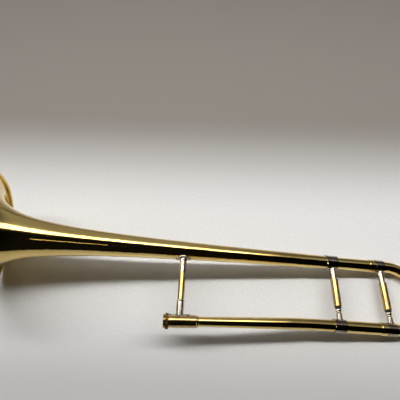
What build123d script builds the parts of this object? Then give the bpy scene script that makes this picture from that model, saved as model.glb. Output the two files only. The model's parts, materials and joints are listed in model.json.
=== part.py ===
from build123d import *
import os
from math import asin, atan2, cos, hypot, radians, sin, sqrt, tan

# Bell section of a tenor trombone, lying on its side: the rim stands on its edge and the crook
# rests at the far end. Millimetres. Lengths along the bell are measured from the middle of the
# rear brace, x growing towards the crook; y is across, with the gooseneck on the -y side.

# ---- driving dimensions ------------------------------------------------------------------
leg_spacing = 95.0          # bell axis to gooseneck axis, at the tuning slide
rim_x = -523.0              # mouth of the bell
mouth_r = 93.25             # inner edge of the flare, where the rim bead starts
flare_depth = 12.0          # the two numbers of a Bessel horn: offset behind the mouth
flare_power = 0.608         # and how fast the radius falls
bell_wall = 0.6
bead_r = 2.0                # rolled rim
bead_bore_r = 1.4
rim_wire_r = 1.35
tube_wall = 0.55
solder_gap = 0.05           # radial gap of every soldered seat
slide_gap = 0.05            # running clearance of the tuning legs
seat_stop = 0.15            # end gap between two tubes that butt inside a ferrule

tail_length = 11.0          # parallel end of the bell, after the flare
joint_x = -1.0              # the tails meet the outer legs here, inside the ferrules
leg_end_x = 68.0            # open end of both outer legs
inner_leg_start_x = 10.0
inner_leg_wall = 0.45
crook_start_x = 76.0        # crook tube begins, inside the crook ferrules
crook_bend_x = 88.0         # the half-turn begins
crook_r = 8.6
bell_leg_r = 9.3            # outer legs: the bell side is the wider bore
neck_leg_r = 8.6

ferrule_start_x = -11.0
ferrule_end_x = 6.8
ferrule_wall = 0.85
ferrule_bead = 0.45         # raised ring at the front edge of a ferrule
ferrule_bead_width = 1.8
crook_ferrule_start_x = 68.6
crook_ferrule_end_x = 82.4
crook_ferrule_wall = 0.6
band_width = 9.5            # ring at the open end of an outer leg
band_wall = 0.7
edge_round = 0.25

neck_bend_x = -50.0         # where the gooseneck turns away from the bell
neck_angle = 2.5
neck_bend_r = 1280.0
neck_end_r = 8.2            # wide end, at the tuning slide
neck_tip_r = 6.7            # narrow end, in the receiver
neck_tip_length = 25.0      # parallel, before the taper

front_brace_x = -231.0
receiver_lead = 22.3        # the receiver's mouth, in front of the brace
receiver_length = 48.5
receiver_wall = 1.35
receiver_tail_length = 3.6
receiver_tail_wall = 0.9
neck_seat_length = 20.0     # how far the gooseneck goes into the receiver
socket_r = 7.2              # parallel start of the slide socket
socket_length = 12.0
socket_taper_length = 14.8
socket_end_r = 6.3
thread_height = 0.75        # crests of the lip's thread, above the receiver
thread_depth = 0.4
thread_turns = 3
thread_pitch = 1.0
collar_length = 4.1
collar_height = 2.15
collar_knurls = 40
collar_knurl_r = 0.35

flange_length = 23.0
flange_width = 17.0
flange_wall = 0.8
saddle_length = 29.6
saddle_width = 13.0
spigot_r = 3.8              # both posts of the front brace enter its tube
spigot_length = 7.0
front_tube_wall = 0.85
front_post_length = 34.2    # from the bell axis to the tube
front_post_flare = 0.5
front_socket_length = 26.4  # from the ring to the receiver's axis
front_ring_width = 2.8
front_ring_height = 0.65
front_socket_height = 0.7
front_foot_height = 0.2

rear_brace_gap = 4.3        # from the raised ring of a ferrule to the brace's foot
slide_brace_gap = 1.9
post_r = 4.3
post_foot_height = 1.0
post_foot_flare = 0.6
upper_post_length = 26.0    # from the bell axis to the sleeve
lower_post_length = 27.7    # from the sleeve to the gooseneck's axis
sleeve_wall = 1.35
sleeve_chamfer = 0.5
bumper_width = 2.6
bumper_height = 1.7
bumper_groove = 1.3
ball_width = 5.1
waist_depth = 1.0
shoulder_length = 4.0

# ---- how it lies, on the rim and on the crook ---------------------------------------------
rim_wire_x = rim_x + bead_r
crook_turn_r = leg_spacing / 2
tail_x = joint_x - tail_length
rest_span = crook_bend_x + crook_turn_r - rim_wire_x
tilt = atan2(mouth_r, rest_span) - asin((crook_r - bead_r) / hypot(mouth_r, rest_span))
neck_slope = radians(neck_angle)
saddle_middle = (front_brace_x - neck_bend_x) / cos(neck_slope)
receiver_y = leg_spacing - saddle_middle * sin(neck_slope)
receiver_mouth = saddle_middle - receiver_lead
receiver_end = receiver_mouth + receiver_length
receiver_r = max(socket_r, neck_tip_r) + receiver_wall
collar_start = receiver_mouth + thread_turns * thread_pitch + 2 * solder_gap
collar_r = receiver_r + collar_height
lowest_y = -leg_spacing + collar_start * sin(neck_slope) - collar_r * cos(neck_slope)
nearest_x = rim_wire_x * cos(tilt) - mouth_r * sin(tilt) - bead_r
furthest_x = (crook_bend_x + crook_turn_r) * cos(tilt) + crook_r
lay = Plane(
    origin=(
        -(nearest_x + furthest_x) / 2,
        -(lowest_y + mouth_r + bead_r) / 2,
        (crook_bend_x + crook_turn_r) * sin(tilt) + crook_r,
    ),
    x_dir=(cos(tilt), 0, -sin(tilt)),
    z_dir=(sin(tilt), 0, cos(tilt)),
)


def along(x, y, turn=0):
    # plane in the section's own plane, its x axis running along a tube
    start = lay.from_local_coords(Vector(x, y, 0))
    ahead = lay.from_local_coords(Vector(x + cos(radians(turn)), y + sin(radians(turn)), 0))
    return Plane(origin=start, x_dir=ahead - start, z_dir=lay.z_dir)


def line_of(plane):
    return Axis(plane.origin, plane.x_dir)


def square_to(plane, distance):
    # plane across a tube, at a distance along it
    start = plane.from_local_coords(Vector(distance, 0, 0))
    return Plane(origin=start, x_dir=lay.z_dir, z_dir=plane.x_dir)


bell_line = along(0, 0)
leg_line = along(0, -leg_spacing)
neck_line = along(neck_bend_x, -leg_spacing, neck_angle)
front_line = along(front_brace_x, 0, -90)

os.makedirs("parts", exist_ok=True)


def write(piece, name):
    piece.part.label = name
    export_step(piece.part, f"parts/{name}.step")


def turned(plane, *outline):
    # solid turned about a plane's x axis, its outline given as (along, radius) points
    with BuildPart() as piece:
        with BuildSketch(plane):
            with BuildLine():
                Polyline(*outline, close=True)
            make_face()
        revolve(axis=line_of(plane))
    return piece


def tube(plane, start, end, bore, radius):
    return turned(plane, (start, bore), (end, bore), (end, radius), (start, radius))


# ---- bell ---------------------------------------------------------------------------------
def flare_r(depth):
    # inner radius of the flare at a depth behind the mouth
    return mouth_r * ((depth + flare_depth) / flare_depth) ** -flare_power


def flare_point(depth, thickness):
    # point of the flare's section, moved out square to the wall
    radius = flare_r(depth)
    fall = flare_power * radius / (depth + flare_depth)
    slant = hypot(1, fall)
    return (rim_x + depth + thickness * fall / slant, radius + thickness / slant)


def skin_r(x, thickness=bell_wall):
    # outer radius of the bell at a place along it
    return flare_r(x - rim_x) + thickness


flare_steps = 14
flare_depths = [(tail_x - rim_x) * (step / flare_steps) ** 2.6 for step in range(flare_steps + 1)]
tail_r = flare_r(tail_x - rim_x)
tail_skin_r = flare_point(tail_x - rim_x, bell_wall)[1]

with BuildPart() as bell:
    with BuildSketch(bell_line):
        with BuildLine():
            inside = Spline(*[flare_point(depth, 0) for depth in flare_depths])
            outside = Spline(*[flare_point(depth, bell_wall) for depth in flare_depths])
            Line(inside @ 0, outside @ 0)
            Polyline(inside @ 1, (joint_x, tail_r), (joint_x, tail_skin_r), outside @ 1)
        make_face()
        with Locations((rim_wire_x, mouth_r)):
            Circle(bead_r)
            Circle(bead_bore_r, mode=Mode.SUBTRACT)
    revolve(axis=line_of(bell_line))
write(bell, "bell")

with BuildPart() as rim_wire:
    with BuildSketch(bell_line):
        with Locations((rim_wire_x, mouth_r)):
            Circle(rim_wire_r)
    revolve(axis=line_of(bell_line))
write(rim_wire, "rim_wire")


# ---- tuning legs, on both sides -------------------------------------------------------------
def ferrule(plane, start, end, joint, front_bore, back_bore, radius):
    # sleeve over two butted tubes, with a raised ring at its front edge
    ring_end = start + ferrule_bead_width
    ring_r = radius + ferrule_bead
    return turned(
        plane,
        (start, front_bore),
        (joint, front_bore),
        (joint, back_bore),
        (end, back_bore),
        (end, radius - edge_round),
        (end - edge_round, radius),
        (ring_end, radius),
        (ring_end - edge_round, ring_r),
        (start + edge_round, ring_r),
        (start, ring_r - edge_round),
    )


def end_band(plane, leg_r):
    # ring that stiffens the open end of an outer leg
    start = leg_end_x - band_width
    radius = leg_r + band_wall
    return turned(
        plane,
        (start, leg_r + solder_gap),
        (leg_end_x, leg_r + solder_gap),
        (leg_end_x, radius - edge_round),
        (leg_end_x - edge_round, radius),
        (start + band_wall, radius),
        (start, leg_r + edge_round),
    )


def tuning_leg(side, plane, leg_r, incoming_r):
    # one side of the slide: ferrule, outer leg and its band, inner leg, crook ferrule
    leg_bore = leg_r - tube_wall
    inner_r = leg_bore - slide_gap
    ferrule_r = max(incoming_r, leg_r) + ferrule_wall
    write(
        ferrule(plane, ferrule_start_x, ferrule_end_x, joint_x + seat_stop / 2,
                incoming_r + solder_gap, leg_r + solder_gap, ferrule_r),
        f"{side}_ferrule",
    )
    write(tube(plane, joint_x + seat_stop, leg_end_x, leg_bore, leg_r), f"{side}_outer_leg")
    write(end_band(plane, leg_r), f"{side}_leg_band")
    inner_leg_end = crook_start_x - seat_stop
    write(
        tube(plane, inner_leg_start_x, inner_leg_end, inner_r - inner_leg_wall, inner_r),
        f"{side}_inner_leg",
    )
    write(
        ferrule(plane, crook_ferrule_start_x, crook_ferrule_end_x, crook_start_x - seat_stop / 2,
                inner_r + solder_gap, crook_r + solder_gap, crook_ferrule_r(leg_r)),
        f"{side}_crook_ferrule",
    )
    return ferrule_r


def crook_ferrule_r(leg_r):
    return max(leg_r, crook_r) + crook_ferrule_wall


bell_ferrule_r = tuning_leg("bell", bell_line, bell_leg_r, tail_skin_r)
neck_ferrule_r = tuning_leg("neck", leg_line, neck_leg_r, neck_end_r)

# ---- crook: two short stubs and a half-turn ---------------------------------------------------
with BuildPart() as crook:
    for plane in (bell_line, leg_line):
        with BuildSketch(square_to(plane, crook_start_x)):
            Circle(crook_r)
            Circle(crook_r - tube_wall, mode=Mode.SUBTRACT)
        extrude(amount=crook_bend_x - crook_start_x)
    turn_centre = lay.from_local_coords(Vector(crook_bend_x, -crook_turn_r, 0))
    with BuildSketch(square_to(bell_line, crook_bend_x)):
        Circle(crook_r)
        Circle(crook_r - tube_wall, mode=Mode.SUBTRACT)
    revolve(axis=Axis(turn_centre, -lay.z_dir), revolution_arc=180)
write(crook, "crook")

# ---- gooseneck: parallel tip, long taper, gentle bend, parallel tail ---------------------------
neck_tip = receiver_end - neck_seat_length
neck_taper_start = neck_tip + neck_tip_length
bend_reach = neck_bend_r * tan(neck_slope / 2)
bend_end_x = neck_bend_x + bend_reach
bend_centre = lay.from_local_coords(Vector(bend_end_x, -leg_spacing - neck_bend_r, 0))
with BuildPart() as gooseneck:
    with BuildSketch(neck_line):
        with BuildLine():
            Polyline(
                (neck_tip, neck_tip_r - tube_wall),
                (neck_taper_start, neck_tip_r - tube_wall),
                (-bend_reach, neck_end_r - tube_wall),
                (-bend_reach, neck_end_r),
                (neck_taper_start, neck_tip_r),
                (neck_tip, neck_tip_r),
                close=True,
            )
        make_face()
    revolve(axis=line_of(neck_line))
    with BuildSketch(square_to(leg_line, bend_end_x)) as neck_section:
        Circle(neck_end_r)
        Circle(neck_end_r - tube_wall, mode=Mode.SUBTRACT)
    extrude(amount=joint_x - bend_end_x)
    revolve(neck_section.sketch, axis=Axis(bend_centre, lay.z_dir), revolution_arc=neck_angle)
write(gooseneck, "gooseneck")

# ---- receiver for the hand slide ----------------------------------------------------------------
def thread_outline():
    # rounded-off thread on the lip, as rings, from the mouth inwards
    crest = receiver_r + thread_height
    root = crest - thread_depth
    points = [(receiver_mouth, root)]
    for turn in range(thread_turns):
        start = receiver_mouth + turn * thread_pitch
        points.append((start + thread_pitch * 0.35, crest))
        points.append((start + thread_pitch * 0.65, crest))
        points.append((start + thread_pitch, root))
    return points


receiver_tail_start = receiver_end - receiver_tail_length
receiver_tail_r = neck_tip_r + receiver_tail_wall
neck_seat_r = neck_tip_r + solder_gap
socket_taper_start = receiver_mouth + socket_length

with BuildPart() as receiver:
    with BuildSketch(neck_line):
        with BuildLine():
            Polyline(
                *thread_outline(),
                (collar_start - solder_gap, receiver_r),
                (receiver_tail_start, receiver_r),
                (receiver_tail_start + receiver_tail_wall, receiver_tail_r + edge_round),
                (receiver_end - 2 * edge_round, receiver_tail_r),
                (receiver_end, neck_seat_r + edge_round),
                (receiver_end, neck_seat_r),
                (neck_tip - seat_stop, neck_seat_r),
                (neck_tip - seat_stop, socket_end_r),
                (socket_taper_start + socket_taper_length, socket_end_r),
                (socket_taper_start, socket_r),
                (receiver_mouth, socket_r),
                close=True,
            )
        make_face()
    revolve(axis=line_of(neck_line))
write(receiver, "receiver")

with BuildPart() as receiver_collar:
    with BuildSketch(square_to(neck_line, collar_start)):
        Circle(collar_r)
        Circle(receiver_r + solder_gap, mode=Mode.SUBTRACT)
        with PolarLocations(collar_r, collar_knurls):
            Circle(collar_knurl_r, mode=Mode.SUBTRACT)
    extrude(amount=collar_length)
write(receiver_collar, "receiver_collar")


# ---- front brace, bell to receiver ----------------------------------------------------------------
flange_start = front_brace_x - flange_length / 2
flange_end = front_brace_x + flange_length / 2
flange_inside = bell_wall + solder_gap
flange_outside = flange_inside + flange_wall
cone_start = skin_r(front_brace_x, flange_outside)
cone_end = front_post_length
front_tube_r = spigot_r + solder_gap + front_tube_wall
cone_tip_r = front_tube_r + front_ring_height / 3
cone_foot_r = cone_tip_r + front_post_flare
front_ring_end = receiver_y - front_socket_length
front_tube_end = front_ring_end - front_ring_width
front_ring_r = front_tube_r + front_ring_height
socket_post_r = front_tube_r + front_socket_height
socket_foot_r = socket_post_r + front_foot_height
saddle_outside = receiver_r + solder_gap + flange_wall

with BuildPart() as bell_flange:
    with BuildSketch(bell_line):
        with BuildLine():
            Polyline(
                (flange_start, skin_r(flange_start, flange_inside)),
                (front_brace_x, skin_r(front_brace_x, flange_inside)),
                (flange_end, skin_r(flange_end, flange_inside)),
                (flange_end, skin_r(flange_end, flange_outside)),
                (front_brace_x, skin_r(front_brace_x, flange_outside)),
                (flange_start, skin_r(flange_start, flange_outside)),
                close=True,
            )
        make_face()
    revolve(axis=line_of(bell_line))
    with BuildSketch(square_to(front_line, 0)):
        Ellipse(flange_width / 2, flange_length / 2)
    extrude(amount=leg_spacing / 2, mode=Mode.INTERSECT)
write(bell_flange, "front_brace_flange")

with BuildPart() as receiver_saddle:
    with BuildSketch(neck_line):
        with Locations((saddle_middle, receiver_r + solder_gap + flange_wall / 2)):
            Rectangle(saddle_length, flange_wall)
    revolve(axis=line_of(neck_line))
    with BuildSketch(square_to(front_line, receiver_y)):
        SlotOverall(saddle_length, saddle_width, rotation=90)
    extrude(amount=-leg_spacing / 2, mode=Mode.INTERSECT)
write(receiver_saddle, "receiver_saddle")

with BuildPart() as front_post:
    with BuildSketch(front_line):
        with BuildLine():
            Polyline(
                (0, 0),
                (0, cone_foot_r),
                (cone_start + 1.2, cone_foot_r),
                (cone_start + 2.6, cone_foot_r - 2 * edge_round),
                (cone_end - edge_round, cone_tip_r),
                (cone_end, cone_tip_r - edge_round),
                (cone_end, spigot_r),
                (cone_end + spigot_length, spigot_r),
                (cone_end + spigot_length, 0),
                close=True,
            )
        make_face()
    revolve(axis=line_of(front_line))
    with BuildSketch(bell_line):
        with BuildLine():
            Polyline(
                (flange_start, 0),
                (flange_start, skin_r(flange_start, flange_outside) + solder_gap),
                (front_brace_x, skin_r(front_brace_x, flange_outside) + solder_gap),
                (flange_end, skin_r(flange_end, flange_outside) + solder_gap),
                (flange_end, 0),
                close=True,
            )
        make_face()
    revolve(axis=line_of(bell_line), mode=Mode.SUBTRACT)
write(front_post, "front_brace_post")

front_tube = turned(
    front_line,
    (cone_end, spigot_r + solder_gap),
    (front_tube_end, spigot_r + solder_gap),
    (front_tube_end, front_tube_r),
    (cone_end, front_tube_r),
)
write(front_tube, "front_brace_tube")

with BuildPart() as front_ring:
    with BuildSketch(front_line):
        with BuildLine():
            Line((front_ring_end, spigot_r + solder_gap), (front_tube_end, spigot_r + solder_gap))
            Line((front_tube_end, spigot_r + solder_gap), (front_tube_end, front_tube_r))
            ThreePointArc(
                (front_tube_end, front_tube_r),
                ((front_tube_end + front_ring_end) / 2, front_ring_r),
                (front_ring_end, front_tube_r),
            )
            Line((front_ring_end, front_tube_r), (front_ring_end, spigot_r + solder_gap))
        make_face()
    revolve(axis=line_of(front_line))
write(front_ring, "front_brace_ring")

with BuildPart() as front_socket:
    with BuildSketch(front_line):
        with BuildLine():
            Polyline(
                (front_ring_end - spigot_length, 0),
                (front_ring_end - spigot_length, spigot_r),
                (front_ring_end, spigot_r),
                (front_ring_end, socket_post_r - 2 * edge_round),
                (front_ring_end + 2 * edge_round, socket_post_r),
                (receiver_y - saddle_outside - 5 * front_foot_height, socket_post_r),
                (receiver_y - saddle_outside - front_foot_height, socket_foot_r),
                (receiver_y, socket_foot_r),
                (receiver_y, 0),
                close=True,
            )
        make_face()
    revolve(axis=line_of(front_line))
    with BuildSketch(neck_line):
        with Locations((saddle_middle, 0)):
            Rectangle(saddle_length, 2 * (saddle_outside + solder_gap))
        split(bisect_by=Plane.XZ)
    revolve(axis=line_of(neck_line), mode=Mode.SUBTRACT)
write(front_socket, "front_brace_socket")


# ---- the two rear braces, between the legs -----------------------------------------------------------
post_foot_r = post_r + post_foot_flare
rear_brace_x = ferrule_start_x + ferrule_bead_width + rear_brace_gap + post_foot_r
slide_brace_x = crook_ferrule_start_x + ferrule_bead_width + slide_brace_gap + post_foot_r
sleeve_start = upper_post_length
sleeve_end = leg_spacing - lower_post_length
sleeve_r = post_r + solder_gap + sleeve_wall
bumper_end = sleeve_end + bumper_width
bumper_neck_r = post_r - bumper_groove
bumper_r = bumper_neck_r + solder_gap + bumper_height
waist = bumper_end + ball_width
waist_r = post_r - waist_depth
shoulder = waist + shoulder_length


def rear_post(plane, outline, seat_r):
    # post turned about the brace's line, its foot hollowed to sit on a ferrule
    with BuildPart() as post:
        with BuildSketch(plane):
            with BuildLine():
                Polyline(*outline, close=True)
            make_face()
        revolve(axis=line_of(plane))
        with BuildSketch(Plane(origin=plane.origin, x_dir=lay.z_dir, z_dir=lay.x_dir)):
            Circle(seat_r + solder_gap)
        extrude(amount=2 * post_foot_r, both=True, mode=Mode.SUBTRACT)
    return post


def rear_brace(name, x, bell_seat_r, neck_seat_r):
    plane = along(x, 0, -90)
    sleeve_bore = post_r + solder_gap
    foot = bell_seat_r + post_foot_height
    write(
        rear_post(plane, [
            (bell_seat_r / 2, 0),
            (bell_seat_r / 2, post_foot_r),
            (foot, post_foot_r),
            (foot + post_foot_flare, post_r),
            (sleeve_start + spigot_length, post_r),
            (sleeve_start + spigot_length, 0),
        ], bell_seat_r),
        f"{name}_upper_post",
    )
    write(
        turned(
            plane,
            (sleeve_start, sleeve_bore),
            (sleeve_end, sleeve_bore),
            (sleeve_end, sleeve_r - sleeve_chamfer),
            (sleeve_end - sleeve_chamfer, sleeve_r),
            (sleeve_start + sleeve_chamfer, sleeve_r),
            (sleeve_start, sleeve_r - sleeve_chamfer),
        ),
        f"{name}_sleeve",
    )
    write(
        turned(
            plane,
            (sleeve_end, bumper_neck_r + solder_gap),
            (bumper_end, bumper_neck_r + solder_gap),
            (bumper_end, bumper_r - sleeve_chamfer),
            (bumper_end - sleeve_chamfer, bumper_r),
            (sleeve_end + sleeve_chamfer, bumper_r),
            (sleeve_end, bumper_r - sleeve_chamfer),
        ),
        f"{name}_bumper",
    )
    ball_middle = (bumper_end + waist) / 2
    foot = leg_spacing - neck_seat_r - post_foot_height
    with BuildPart() as lower_post:
        with BuildSketch(plane):
            with BuildLine():
                Polyline((waist, waist_r), (waist, 0), (sleeve_end - spigot_length, 0),
                         (sleeve_end - spigot_length, post_r), (sleeve_end, post_r),
                         (sleeve_end, bumper_neck_r), (bumper_end, bumper_neck_r),
                         (bumper_end, waist_r))
                ThreePointArc((bumper_end, waist_r), (ball_middle, post_r), (waist, waist_r))
            make_face()
            with BuildLine():
                Line((waist, waist_r), (waist, 0))
                Polyline((waist, 0), (leg_spacing - neck_seat_r / 2, 0),
                         (leg_spacing - neck_seat_r / 2, post_foot_r), (foot, post_foot_r),
                         (foot - post_foot_flare, post_r), (shoulder, post_r))
                Spline((shoulder, post_r), (waist, waist_r), tangents=[(-1, 0), (-1, 0)])
            make_face()
        revolve(axis=line_of(plane))
        with BuildSketch(square_to(along(x, -leg_spacing), 0)):
            Circle(neck_seat_r + solder_gap)
        extrude(amount=2 * post_foot_r, both=True, mode=Mode.SUBTRACT)
    write(lower_post, f"{name}_lower_post")


rear_brace("rear_brace", rear_brace_x, bell_ferrule_r, neck_ferrule_r)
rear_brace("slide_brace", slide_brace_x, crook_ferrule_r(bell_leg_r), crook_ferrule_r(neck_leg_r))
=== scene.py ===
import bpy
import json
import math
from mathutils import Matrix, Vector

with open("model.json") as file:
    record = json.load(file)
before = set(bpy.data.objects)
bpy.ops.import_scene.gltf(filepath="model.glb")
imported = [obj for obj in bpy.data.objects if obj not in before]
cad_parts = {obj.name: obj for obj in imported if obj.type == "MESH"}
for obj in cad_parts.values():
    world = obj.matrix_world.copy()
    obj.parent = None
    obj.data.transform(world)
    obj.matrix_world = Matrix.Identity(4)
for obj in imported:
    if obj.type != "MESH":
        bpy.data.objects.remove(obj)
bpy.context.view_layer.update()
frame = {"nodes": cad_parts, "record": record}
print("frame loaded:", len(frame["nodes"]), "nodes")


# colours are written as they look on a screen, and turned to linear here by the sRGB curve
def fromHex(text):
    shares = [int(text[i:i + 2], 16) / 255 for i in (1, 3, 5)]
    linear = [s / 12.92 if s <= 0.04045 else ((s + 0.055) / 1.055) ** 2.4 for s in shares]
    return linear + [1.0]


# a neutral value that isn't a colour: a mask, a roughness or a brightness
def plain(value):
    return (value, value, value, 1.0)


# adds one node: settings are its properties, values its sockets' numbers, links what feeds them
# and stops a ramp's places and colours
def addNode(tree, kind, settings=None, values=None, links=None, stops=None):
    node = tree.nodes.new(kind)
    for name, value in (settings or {}).items():
        setattr(node, name, value)
    for name, value in (values or {}).items():
        node.inputs[name].default_value = value
    for name, source in (links or {}).items():
        tree.links.new(source, node.inputs[name])
    for spot, (place, colour) in enumerate(stops or []):
        elements = node.color_ramp.elements
        element = elements[spot] if spot < len(elements) else elements.new(place)
        element.position = place
        element.color = colour
    return node


def startMaterial(name):
    material = bpy.data.materials.new(name)
    material.use_nodes = True
    material.node_tree.nodes.clear()
    return material, material.node_tree


# how far each layer of noise is pulled apart, and how deep the bumps are, on every metal here
metalLayers = dict(
    toneFrom=0.32, toneTo=0.68,         # from the deep tone to the bright one
    spotEdge=0.06,                      # how soft a spot's edge is
    shinyBelow=0.35, dullAbove=0.72,    # where hands have left the gloss, and where they have dulled it
    markDepth=0.0002, waveDepth=0.0015,
    coatRoughness=0.05)


# one metal surface in layers: a cloudy tone, spots where it has begun to stain, a gloss that hands
# have dulled in places, tool marks, and the slow waves that a mirror on thin metal shows; a grain is
# its size in millimetres, its stretch along each axis and its detail, and every tool mark is drawn
# coarser than real, at half a millimetre or more, so that it shows
def metalFinish(name, look):
    shared = metalLayers
    material, tree = startMaterial(name)
    place = addNode(tree, "ShaderNodeTexCoord").outputs["Object"]
    layers = {}
    for layer, (grain, stretch, detail) in look["grains"].items():
        size = [1000 / grain * s for s in stretch]    # grains are in millimetres, places in metres
        mapped = addNode(tree, "ShaderNodeMapping", values={"Scale": size, "Location": look["start"]},
                         links={"Vector": place})
        noise = addNode(tree, "ShaderNodeTexNoise", values={"Scale": 1.0, "Detail": detail},
                        links={"Vector": mapped.outputs["Vector"]})
        layers[layer] = noise.outputs["Fac"]
    tone = addNode(tree, "ShaderNodeValToRGB", links={"Fac": layers["cloud"]},
                   stops=[(shared["toneFrom"], fromHex(look["deep"])),
                          (shared["toneTo"], fromHex(look["bright"]))])
    clear = look["spotsFrom"]
    spots = addNode(tree, "ShaderNodeValToRGB", links={"Fac": layers["spots"]},
                    stops=[(clear, plain(0)), (clear + shared["spotEdge"], plain(look["spotDepth"]))])
    colour = addNode(tree, "ShaderNodeMix", {"data_type": "RGBA"}, {"B": fromHex(look["spotTone"])},
                     {"Factor": spots.outputs["Color"], "A": tone.outputs["Color"]})
    shiny, dull = look["roughness"]
    rough = addNode(tree, "ShaderNodeValToRGB", links={"Fac": layers["handling"]},
                    stops=[(shared["shinyBelow"], plain(shiny)), (shared["dullAbove"], plain(dull))])
    marks = addNode(tree, "ShaderNodeBump", links={"Height": layers["marks"]},
                    values={"Strength": look["markStrength"], "Distance": shared["markDepth"]})
    waves = addNode(tree, "ShaderNodeBump",
                    values={"Strength": look["waveStrength"], "Distance": shared["waveDepth"]},
                    links={"Height": layers["waves"], "Normal": marks.outputs["Normal"]})
    shader = addNode(tree, "ShaderNodeBsdfPrincipled",
                     values={"Metallic": 1.0, "Coat Weight": look["coat"],
                             "Coat Roughness": shared["coatRoughness"]},
                     links={"Base Color": colour.outputs["Result"], "Roughness": rough.outputs["Color"],
                            "Normal": waves.outputs["Normal"]})
    addNode(tree, "ShaderNodeOutputMaterial", links={"Surface": shader.outputs[0]})
    return material


# yellow brass, spun or drawn, buffed and lacquered: a warm mirror under a hard clear film, with
# pin-prick brown freckles where the film is thin and faint buffing marks along the tube
lacqueredBrass = metalFinish("brassBuffedAndLacquered", dict(
    bright="#EDD185", deep="#DBBA6A", spotTone="#7A5420", spotsFrom=0.73, spotDepth=0.75,
    roughness=(0.045, 0.11), coat=0.5, markStrength=0.02, waveStrength=0.06, start=(0, 0, 0),
    grains=dict(cloud=(45, (0.5, 1, 1), 4), spots=(3.2, (1, 1, 1), 2), handling=(18, (1, 1, 1), 5),
                marks=(0.8, (0.06, 1, 1), 2), waves=(20, (0.6, 1, 1), 2))))

# drawn brass tube, gripped by the player: its polish is worn by hands to a duller, softer gold sheen
sleeveBrass = metalFinish("brassTubeDrawnAndHandWorn", dict(
    bright="#C9B077", deep="#A9905C", spotTone="#7A5A28", spotsFrom=0.70, spotDepth=0.5,
    roughness=(0.11, 0.24), coat=0.2, markStrength=0.03, waveStrength=0.03, start=(3, 1, 2),
    grains=dict(cloud=(9, (1, 0.4, 1), 4), spots=(1.6, (1, 1, 1), 2), handling=(5, (1, 1, 1), 4),
                marks=(0.5, (1, 0.08, 1), 2), waves=(9, (1, 1, 1), 2))))

# bare brass, turned, its lacquer worn away by the slide's nut: browned, with darker stains
wornBrass = metalFinish("brassTurnedAndWorn", dict(
    bright="#DCC288", deep="#B3965A", spotTone="#5B4322", spotsFrom=0.60, spotDepth=0.7,
    roughness=(0.09, 0.26), coat=0.0, markStrength=0.04, waveStrength=0.03, start=(1, 4, 2),
    grains=dict(cloud=(7, (1, 1, 1), 5), spots=(2.4, (1, 1, 1), 3), handling=(4, (1, 1, 1), 4),
                marks=(0.5, (1, 0.3, 0.3), 2), waves=(8, (1, 1, 1), 2))))

# the same bare brass on the collar, where grease and grime keep it brown
grimyBrass = metalFinish("brassTurnedAndTarnished", dict(
    bright="#9E8250", deep="#5F4827", spotTone="#2E2112", spotsFrom=0.56, spotDepth=0.8,
    roughness=(0.16, 0.38), coat=0.0, markStrength=0.05, waveStrength=0.02, start=(2, 2, 5),
    grains=dict(cloud=(4, (1, 1, 1), 5), spots=(1.8, (1, 1, 1), 3), handling=(3, (1, 1, 1), 4),
                marks=(0.5, (1, 0.3, 0.3), 2), waves=(8, (1, 1, 1), 2))))

# nickel silver, turned and polished: a pale, slightly warm mirror that handling has greyed
polishedNickel = metalFinish("nickelSilverTurnedAndPolished", dict(
    bright="#D3CBBD", deep="#B2A899", spotTone="#6E6250", spotsFrom=0.66, spotDepth=0.5,
    roughness=(0.09, 0.2), coat=0.0, markStrength=0.03, waveStrength=0.03, start=(5, 0, 1),
    grains=dict(cloud=(7, (1, 1, 1), 4), spots=(1.8, (1, 1, 1), 2), handling=(4, (1, 1, 1), 4),
                marks=(0.5, (1, 0.2, 1), 2), waves=(8, (1, 1, 1), 2))))

# nickel silver ferrules and front brace fittings, where fingers have tarnished it to a mauve grey
tarnishedNickel = metalFinish("nickelSilverTarnished", dict(
    bright="#BBAE9D", deep="#877A6A", spotTone="#4C4034", spotsFrom=0.58, spotDepth=0.6,
    roughness=(0.07, 0.18), coat=0.0, markStrength=0.04, waveStrength=0.03, start=(0, 5, 3),
    grains=dict(cloud=(8, (1, 1, 1), 5), spots=(2.2, (1, 1, 1), 3), handling=(4, (1, 1, 1), 4),
                marks=(0.5, (1, 0.3, 0.3), 2), waves=(10, (1, 1, 1), 2))))

# drawn nickel silver legs under slide grease: bright, with fine lines along the draw and wet patches
drawnNickel = metalFinish("nickelSilverDrawnAndGreased", dict(
    bright="#D8D2C6", deep="#BDB5A6", spotTone="#8D8168", spotsFrom=0.60, spotDepth=0.35,
    roughness=(0.07, 0.2), coat=0.35, markStrength=0.05, waveStrength=0.02, start=(4, 4, 0),
    grains=dict(cloud=(12, (0.4, 1, 1), 4), spots=(5, (0.5, 1, 1), 3), handling=(7, (1, 1, 1), 4),
                marks=(0.6, (0.03, 1, 1), 2), waves=(16, (1, 1, 1), 2))))
print("metals made")


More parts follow.
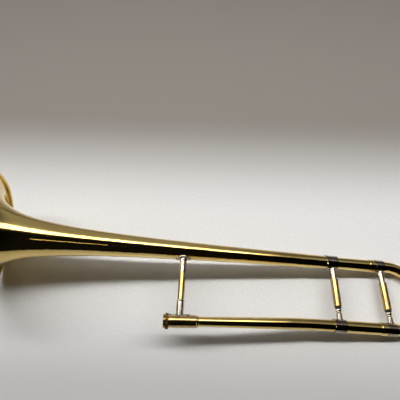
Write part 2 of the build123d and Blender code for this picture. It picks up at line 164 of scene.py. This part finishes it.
# rubber, moulded: nearly black, with a matt skin that is a little bloomed and faintly pitted
def mouldedRubber():
    look = dict(black="#0C0C0C", bloom="#1E1D1C", bloomFrom=0.3, bloomTo=0.7, bloomGrain=2.5,
                pitGrain=0.4, pitStrength=0.2, pitDepth=0.0001, roughness=(0.5, 0.72), ior=1.52)
    material, tree = startMaterial("rubberMoulded")
    place = addNode(tree, "ShaderNodeTexCoord").outputs["Object"]
    bloom = addNode(tree, "ShaderNodeTexNoise", values={"Scale": 1000 / look["bloomGrain"], "Detail": 3.0},
                    links={"Vector": place})
    pits = addNode(tree, "ShaderNodeTexNoise", values={"Scale": 1000 / look["pitGrain"], "Detail": 1.0},
                   links={"Vector": place})
    tone = addNode(tree, "ShaderNodeValToRGB", links={"Fac": bloom.outputs["Fac"]},
                   stops=[(look["bloomFrom"], fromHex(look["black"])),
                          (look["bloomTo"], fromHex(look["bloom"]))])
    smooth, matt = look["roughness"]
    rough = addNode(tree, "ShaderNodeMapRange", values={"To Min": smooth, "To Max": matt},
                    links={"Value": bloom.outputs["Fac"]})
    bump = addNode(tree, "ShaderNodeBump", links={"Height": pits.outputs["Fac"]},
                   values={"Strength": look["pitStrength"], "Distance": look["pitDepth"]})
    shader = addNode(tree, "ShaderNodeBsdfPrincipled", values={"IOR": look["ior"]},
                     links={"Base Color": tone.outputs["Color"], "Roughness": rough.outputs["Result"],
                            "Normal": bump.outputs["Normal"]})
    addNode(tree, "ShaderNodeOutputMaterial", links={"Surface": shader.outputs[0]})
    return material


# the record says what each node is made of; the rolled rim hides its wire, which takes the drawn finish
bySlot = dict(
    lacquered_brass=lacqueredBrass,
    brace_brass=sleeveBrass,
    receiver_brass=wornBrass,
    nickel_silver=polishedNickel,
    slide_nickel=drawnNickel,
    wire_steel=drawnNickel,
    black_rubber=mouldedRubber())

# these are more worn than the rest of their slot
byNode = dict(
    bell_ferrule=tarnishedNickel,
    neck_ferrule=tarnishedNickel,
    bell_crook_ferrule=tarnishedNickel,
    neck_crook_ferrule=tarnishedNickel,
    receiver_saddle=tarnishedNickel,
    front_brace_flange=tarnishedNickel,
    front_brace_post=tarnishedNickel,
    receiver_collar=grimyBrass)
slotOf = {row["node"]: row["material_slot"] for row in frame["record"]["subparts"]}
for name, node in frame["nodes"].items():
    node.data.materials.clear()
    node.data.materials.append(byNode.get(name, bySlot[slotOf[name]]))
print("finishes given to", len(frame["nodes"]), "nodes")


# pale cotton sheet, woven: matt and nearly white under the section; painted shade greys it behind the
# section and a little in front, where the light falls off; its thread is drawn coarser than real, as a
# faint mottle
def makeFloor():
    look = dict(half=2.5, thread=3.5, roughness=0.95, specular=0.2,
                mottle="#E5E4E1", mottleFrom=0.35, pale="#ECEBE9", paleFrom=0.65,
                # painted shade: a darker grey laid on the floor behind the section and a lighter grey in
                # front of it, where less light falls
                behind="#948D86", behindFrom=0.09, behindTo=0.33,
                front="#C6C4C2", frontFrom=-0.05, frontTo=-0.19)
    half = look["half"]
    corners = [(-half, -half, 0), (half, -half, 0), (half, half, 0), (-half, half, 0)]
    mesh = bpy.data.meshes.new("floor")
    mesh.from_pydata(corners, [], [(0, 1, 2, 3)])
    floor = bpy.data.objects.new("floor", mesh)
    bpy.context.scene.collection.objects.link(floor)
    material, tree = startMaterial("cottonSheetWoven")
    place = addNode(tree, "ShaderNodeTexCoord").outputs["Object"]
    split = addNode(tree, "ShaderNodeSeparateXYZ", links={"Vector": place})
    # painted shade: masks by place along Y that grey the floor behind the section and in front of it
    behind = addNode(tree, "ShaderNodeMapRange", {"interpolation_type": "SMOOTHSTEP"},
                     {"From Min": look["behindFrom"], "From Max": look["behindTo"]},
                     {"Value": split.outputs["Y"]})
    front = addNode(tree, "ShaderNodeMapRange", {"interpolation_type": "SMOOTHSTEP"},
                    {"From Min": look["frontFrom"], "From Max": look["frontTo"]},
                    {"Value": split.outputs["Y"]})
    thread = addNode(tree, "ShaderNodeTexNoise", values={"Scale": 1000 / look["thread"], "Detail": 3.0},
                     links={"Vector": place})
    cloth = addNode(tree, "ShaderNodeValToRGB", links={"Fac": thread.outputs["Fac"]},
                    stops=[(look["mottleFrom"], fromHex(look["mottle"])),
                           (look["paleFrom"], fromHex(look["pale"]))])
    # the painted shade in front, then the painted shade behind, laid over the cloth's own mottle
    clothWithShadeInFront = addNode(tree, "ShaderNodeMix", {"data_type": "RGBA"}, {"B": fromHex(look["front"])},
                       {"Factor": front.outputs["Result"], "A": cloth.outputs["Color"]})
    tone = addNode(tree, "ShaderNodeMix", {"data_type": "RGBA"}, {"B": fromHex(look["behind"])},
                   {"Factor": behind.outputs["Result"], "A": clothWithShadeInFront.outputs["Result"]})
    shader = addNode(tree, "ShaderNodeBsdfPrincipled", links={"Base Color": tone.outputs["Result"]},
                     values={"Roughness": look["roughness"], "Specular IOR Level": look["specular"]})
    addNode(tree, "ShaderNodeOutputMaterial", links={"Surface": shader.outputs[0]})
    mesh.materials.append(material)


makeFloor()


# an area light that looks at a point; its power is set from the brightness of its face, and it may
# be kept out of what the metal mirrors or off the matt floor
def makeLight(name, place, aim, size, radiance, colour="#FFFFFF", inGloss=True, onFloor=True):
    light = bpy.data.lights.new(name, "AREA")
    light.shape = "RECTANGLE"
    light.size, light.size_y = size
    light.energy = radiance * math.pi * size[0] * size[1]
    light.color = fromHex(colour)[:3]
    lamp = bpy.data.objects.new(name, light)
    bpy.context.scene.collection.objects.link(lamp)
    lamp.location = place
    lamp.rotation_euler = (Vector(aim) - Vector(place)).to_track_quat("-Z", "Y").to_euler()
    lamp.visible_camera = False
    lamp.visible_glossy = inGloss
    lamp.visible_diffuse = onFloor


# a long soft panel above and behind: the face that the metal mirrors dims towards the right, while
# the light on the floor comes from a narrower, evenly bright band, which keeps the shadows crisp
def makePanel():
    setup = dict(height=1.30, left=-1.5, right=1.3, aimY=0.01, aimZ=0.05, tone="#FFFBF2",
                 face=3.2, faceBehind=0.48, faceWidth=0.44,
                 ends=(0.58, 0.65, 0.72, 0.79), dims=(1, 0.7, 0.4, 0.15),
                 thrown=23.6, throwBehind=0.33, throwWidth=0.10)
    start = setup["left"]
    for number, (end, dim) in enumerate(zip(setup["ends"], setup["dims"])):
        middle = (start + end) / 2
        makeLight(f"panelFace{number}", (middle, setup["faceBehind"], setup["height"]),
                  (middle, setup["aimY"], setup["aimZ"]), (end - start, setup["faceWidth"]),
                  setup["face"] * dim, setup["tone"], onFloor=False)
        start = end
    middle = (setup["left"] + setup["right"]) / 2
    makeLight("panelThrow", (middle, setup["throwBehind"], setup["height"]),
              (middle, setup["aimY"], setup["aimZ"]),
              (setup["right"] - setup["left"], setup["throwWidth"]), setup["thrown"], inGloss=False)


# a short thin lamp on the viewer's side, which draws a faint line along the flare
def makeSideStrip():
    setup = dict(place=(-0.16, -0.69, 1.30), aim=(-0.16, 0.01, 0.07), size=(0.20, 0.06),
                 radiance=1.6, tone="#FFEBC8")
    makeLight("sideStrip", setup["place"], setup["aim"], setup["size"], setup["radiance"], setup["tone"],
              onFloor=False)


# a lamp low on the left, which puts a spark on the left side of each bead and ring
def makeSpark():
    setup = dict(place=(-0.95, -0.30, 0.60), aim=(0.1, -0.03, 0.05), size=(0.28, 0.28),
                 radiance=22.0, tone="#FFFBF2")
    makeLight("sparkLamp", setup["place"], setup["aim"], setup["size"], setup["radiance"], setup["tone"],
              onFloor=False)


makePanel()
makeSideStrip()
makeSpark()


# the room that the metal mirrors: dark on the viewer's side, dim behind, with a glow above, all of it
# dying away to the right; looked at directly it is one plain soft grey
def makeWorld():
    setup = dict(
        backdrop=0.42, dark=0.006,
        wall=0.31, wallFrom=0.16, wallTo=0.42,
        # each pair is how far towards the back, the top or the right, and how bright
        glow=((0.0, 0.0), (0.10, 0.03), (0.17, 0.035), (0.20, 1.4), (0.27, 1.2), (0.42, 0.75),
              (0.52, 0.35), (0.64, 0.12), (0.8, 0.0)),
        over=((0.0, 0.0), (0.3, 0.0), (0.6, 1.0)),
        side=((0.0, 0.5), (0.25, 1.0), (0.60, 1.0), (0.72, 0.35), (1.0, 0.1)))
    ramps = {name: [(place, plain(value)) for place, value in setup[name]]
             for name in ("glow", "over", "side")}
    world = bpy.data.worlds.new("room")
    bpy.context.scene.world = world
    world.use_nodes = True
    tree = world.node_tree
    tree.nodes.clear()
    place = addNode(tree, "ShaderNodeTexCoord")
    split = addNode(tree, "ShaderNodeSeparateXYZ", links={"Vector": place.outputs["Generated"]})
    right = addNode(tree, "ShaderNodeMapRange", values={"From Min": -1, "From Max": 1},
                    links={"Value": split.outputs["X"]})
    glow = addNode(tree, "ShaderNodeValToRGB", links={"Fac": split.outputs["Y"]}, stops=ramps["glow"])
    over = addNode(tree, "ShaderNodeValToRGB", links={"Fac": split.outputs["Z"]}, stops=ramps["over"])
    side = addNode(tree, "ShaderNodeValToRGB", links={"Fac": right.outputs["Result"]}, stops=ramps["side"])
    multiply = {"data_type": "RGBA", "blend_type": "MULTIPLY"}
    above = addNode(tree, "ShaderNodeMix", multiply, {"Factor": 1.0},
                    {"A": glow.outputs["Color"], "B": over.outputs["Color"]})
    wall = addNode(tree, "ShaderNodeMapRange", {"interpolation_type": "SMOOTHSTEP"},
                   {"From Min": setup["wallFrom"], "From Max": setup["wallTo"], "To Min": setup["dark"],
                    "To Max": setup["wall"]}, {"Value": split.outputs["Y"]})
    lit = addNode(tree, "ShaderNodeMix", {"data_type": "RGBA", "blend_type": "ADD"}, {"Factor": 1.0},
                  {"A": above.outputs["Result"], "B": wall.outputs["Result"]})
    mirrored = addNode(tree, "ShaderNodeMix", multiply, {"Factor": 1.0},
                       {"A": lit.outputs["Result"], "B": side.outputs["Color"]})
    ray = addNode(tree, "ShaderNodeLightPath")
    seen = addNode(tree, "ShaderNodeMix", {"data_type": "RGBA"}, {"B": plain(setup["backdrop"])},
                   {"Factor": ray.outputs["Is Camera Ray"], "A": mirrored.outputs["Result"]})
    sky = addNode(tree, "ShaderNodeBackground", links={"Color": seen.outputs["Result"]})
    addNode(tree, "ShaderNodeOutputWorld", links={"Surface": sky.outputs[0]})


makeWorld()
print("floor, lights and room set")


# the viewer stands over the gooseneck side and looks down at the section, a little from its right
def makeCamera():
    setup = dict(lens=32.4, sensor=36, nearest=0.01, azimuth=3.905, elevation=60.56, roll=1.66,
                 distance=0.604, aim=(-0.0155, 0.107, 0.0402))
    azimuth, elevation, roll = (math.radians(setup[name]) for name in ("azimuth", "elevation", "roll"))
    level = Vector((math.cos(azimuth), math.sin(azimuth), 0))
    ahead = Vector((-math.sin(azimuth), math.cos(azimuth), 0))
    back = Vector((0, 0, math.sin(elevation))) - ahead * math.cos(elevation)
    above = back.cross(level)
    right = level * math.cos(roll) - above * math.sin(roll)
    camera = bpy.data.objects.new("camera", bpy.data.cameras.new("camera"))
    bpy.context.scene.collection.objects.link(camera)
    camera.data.sensor_width = setup["sensor"]
    camera.data.lens = setup["lens"]
    camera.data.clip_start = setup["nearest"]
    turn = Matrix((right, back.cross(right), back)).transposed().to_4x4()
    camera.matrix_world = Matrix.Translation(Vector(setup["aim"]) + back * setup["distance"]) @ turn
    bpy.context.scene.camera = camera


makeCamera()
bpy.context.scene.view_settings.view_transform = "Standard"
print("camera set")
